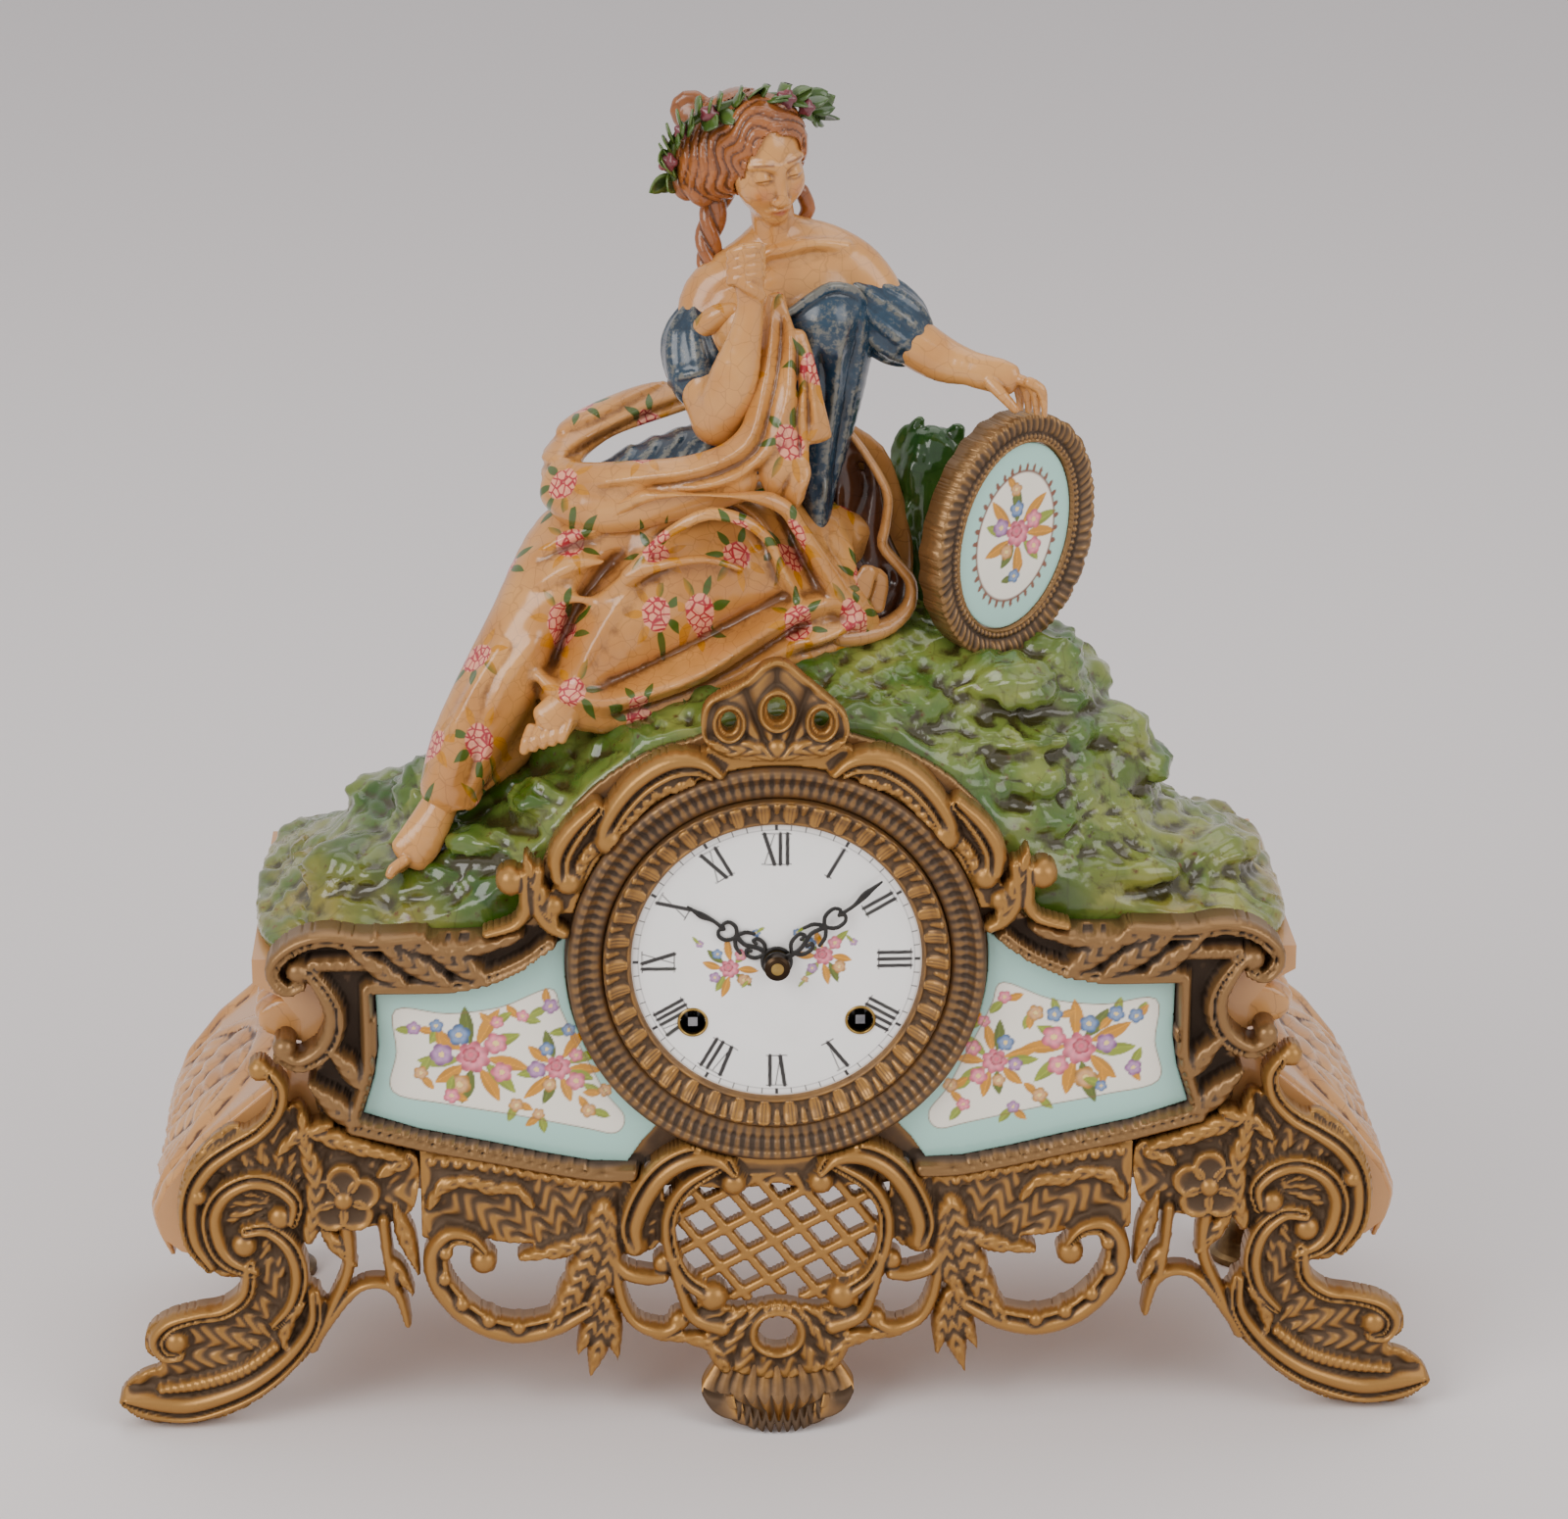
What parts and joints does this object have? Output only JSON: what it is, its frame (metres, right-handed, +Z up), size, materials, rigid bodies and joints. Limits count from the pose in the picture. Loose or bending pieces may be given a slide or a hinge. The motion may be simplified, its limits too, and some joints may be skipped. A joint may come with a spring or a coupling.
{
  "type": "figural mantel clock",
  "caption": "Mantel clock with a seated draped figure on a rocky mound over a cream case, a pierced gilt front on scroll legs, a round dial and painted side panels.",
  "frame": {"origin": "centre of the bounding box in plan, at table level", "axes": "+X to the viewer's right, +Y from the dial to the back cover, +Z up"},
  "size_m": [0.428, 0.16, 0.4292],
  "materials": {
    "cream_glaze": "glazed cream with brown wash",
    "rock_glaze": "glossy mottled green glaze",
    "antique_gilt": "antique gilt over cast brass",
    "white_enamel": "white enamel",
    "turquoise_porcelain": "glazed porcelain plaque",
    "blued_steel": "bright steel",
    "skin_paint": "varnished flesh paint with fine crazing",
    "hair_paint": "varnished brown paint",
    "leaf_paint": "varnished green paint",
    "blue_paint": "worn dark blue paint",
    "cream_cloth_paint": "varnished cream paint with floral sprigs",
    "black_hands": "black paint",
    "foot_brass": "turned brass, aged",
    "cover_brass": "aged sheet brass",
    "bell_bronze": "polished bell metal",
    "movement_brass": "rolled brass"
  },
  "bodies": {
    "clock_case": {"case_shell": "cream_glaze", "rock_mound": "rock_glaze", "leaf_stump": "rock_glaze", "front_frame": "antique_gilt", "arch_scrolls": "antique_gilt", "crest": "antique_gilt", "leg_left": "antique_gilt", "leg_right": "antique_gilt", "apron": "antique_gilt", "dial_surround": "antique_gilt", "bezel": "antique_gilt", "dial_plate": "white_enamel", "panel_left": "turquoise_porcelain", "panel_right": "turquoise_porcelain", "frame_screws": "blued_steel", "rear_foot_left": "foot_brass", "rear_foot_right": "foot_brass", "foot_nuts": "blued_steel", "head": "skin_paint", "hair": "hair_paint", "wreath": "leaf_paint", "torso": "skin_paint", "bodice": "blue_paint", "arm_right": "skin_paint", "arm_left": "skin_paint", "sleeves": "blue_paint", "skirt": "cream_cloth_paint", "shawl": "cream_cloth_paint", "feet": "skin_paint", "medallion_frame": "antique_gilt", "medallion_plaque": "turquoise_porcelain", "medallion_peg": "blued_steel", "front_plate": "movement_brass", "back_plate": "movement_brass", "plate_pillars": "movement_brass", "movement_posts": "movement_brass", "bell": "bell_bronze", "bell_post": "blued_steel", "hinge_pin": "blued_steel"},
    "minute_hand_set": {"center_wheel": "movement_brass", "cannon_pinion": "movement_brass", "minute_hand": "black_hands", "hand_nut": "antique_gilt"},
    "hour_hand_set": {"hour_wheel": "movement_brass", "hour_hand": "black_hands"},
    "motion_wheel_set": {"motion_wheel": "movement_brass"},
    "time_barrel_set": {"time_barrel": "movement_brass", "time_mainspring": "blued_steel"},
    "time_winder": {"time_winding_arbor": "blued_steel"},
    "strike_barrel_set": {"strike_barrel": "movement_brass", "strike_mainspring": "blued_steel"},
    "strike_winder": {"strike_winding_arbor": "blued_steel"},
    "third_wheel_set": {"third_wheel": "movement_brass"},
    "escape_wheel_set": {"escape_wheel": "movement_brass"},
    "pallet_set": {"pallet_lever": "blued_steel"},
    "balance_set": {"balance_wheel": "movement_brass"},
    "pin_wheel_set": {"pin_wheel": "movement_brass"},
    "hammer_set": {"strike_hammer": "blued_steel"},
    "back_door": {"back_cover": "cover_brass", "cover_knob": "foot_brass"}
  },
  "joints": [
    {"name": "minute_hand_turn", "type": "hinge", "parent": "clock_case", "child": "minute_hand_set", "pos_m": [0, -0.02, 0.1573], "axis": [0, 1, 0], "continuous": true},
    {"name": "hour_hand_turn", "type": "hinge", "parent": "clock_case", "child": "hour_hand_set", "pos_m": [0, -0.02, 0.1573], "axis": [0, 1, 0], "continuous": true},
    {"name": "motion_wheel_turn", "type": "hinge", "parent": "clock_case", "child": "motion_wheel_set", "pos_m": [0, -0.02, 0.1453], "axis": [0, 1, 0], "continuous": true},
    {"name": "time_barrel_turn", "type": "hinge", "parent": "clock_case", "child": "time_barrel_set", "pos_m": [0.0268, -0.02, 0.1366], "axis": [0, 1, 0], "continuous": true},
    {"name": "third_wheel_turn", "type": "hinge", "parent": "clock_case", "child": "third_wheel_set", "pos_m": [-0.00739, -0.02, 0.1776], "axis": [0, 1, 0], "continuous": true},
    {"name": "escape_wheel_turn", "type": "hinge", "parent": "clock_case", "child": "escape_wheel_set", "pos_m": [0.00878, -0.02, 0.18285], "axis": [0, 1, 0], "continuous": true},
    {"name": "strike_barrel_turn", "type": "hinge", "parent": "clock_case", "child": "strike_barrel_set", "pos_m": [-0.0268, -0.02, 0.1366], "axis": [0, 1, 0], "continuous": true},
    {"name": "pin_wheel_turn", "type": "hinge", "parent": "clock_case", "child": "pin_wheel_set", "pos_m": [-0.03226, -0.02, 0.16228], "axis": [0, 1, 0], "continuous": true},
    {"name": "time_winding", "type": "hinge", "parent": "clock_case", "child": "time_winder", "pos_m": [0.0268, -0.02, 0.1366], "axis": [0, 1, 0], "continuous": true},
    {"name": "strike_winding", "type": "hinge", "parent": "clock_case", "child": "strike_winder", "pos_m": [-0.0268, -0.02, 0.1366], "axis": [0, 1, 0], "continuous": true},
    {"name": "pallet_rock", "type": "hinge", "parent": "clock_case", "child": "pallet_set", "pos_m": [0.01121, -0.02, 0.19664], "axis": [0, 1, 0], "range_deg": [-4, 4]},
    {"name": "balance_swing", "type": "hinge", "parent": "clock_case", "child": "balance_set", "pos_m": [-0.013, -0.02, 0.2003], "axis": [0, 1, 0], "range_deg": [-220, 220], "stiffness_Nm_per_rad": 0.0001},
    {"name": "hammer_swing", "type": "hinge", "parent": "clock_case", "child": "hammer_set", "pos_m": [-0.038, 0, 0.1873], "axis": [0, 1, 0], "range_deg": [-2, 22], "stiffness_Nm_per_rad": 0.01},
    {"name": "back_cover_swing", "type": "hinge", "parent": "clock_case", "child": "back_door", "pos_m": [-0.065, 0.0723, 0.1573], "axis": [0, 0, 1], "range_deg": [0, 110]}
  ],
  "couplings": [
    {"joint": "minute_hand_turn", "follows": "escape_wheel_turn", "ratio": 0.016667},
    {"joint": "hour_hand_turn", "follows": "escape_wheel_turn", "ratio": 0.0013889},
    {"joint": "motion_wheel_turn", "follows": "escape_wheel_turn", "ratio": -0.0055556},
    {"joint": "time_barrel_turn", "follows": "escape_wheel_turn", "ratio": -0.0033333},
    {"joint": "third_wheel_turn", "follows": "escape_wheel_turn", "ratio": -0.13333},
    {"joint": "strike_barrel_turn", "follows": "pin_wheel_turn", "ratio": -0.16667}
  ]
}
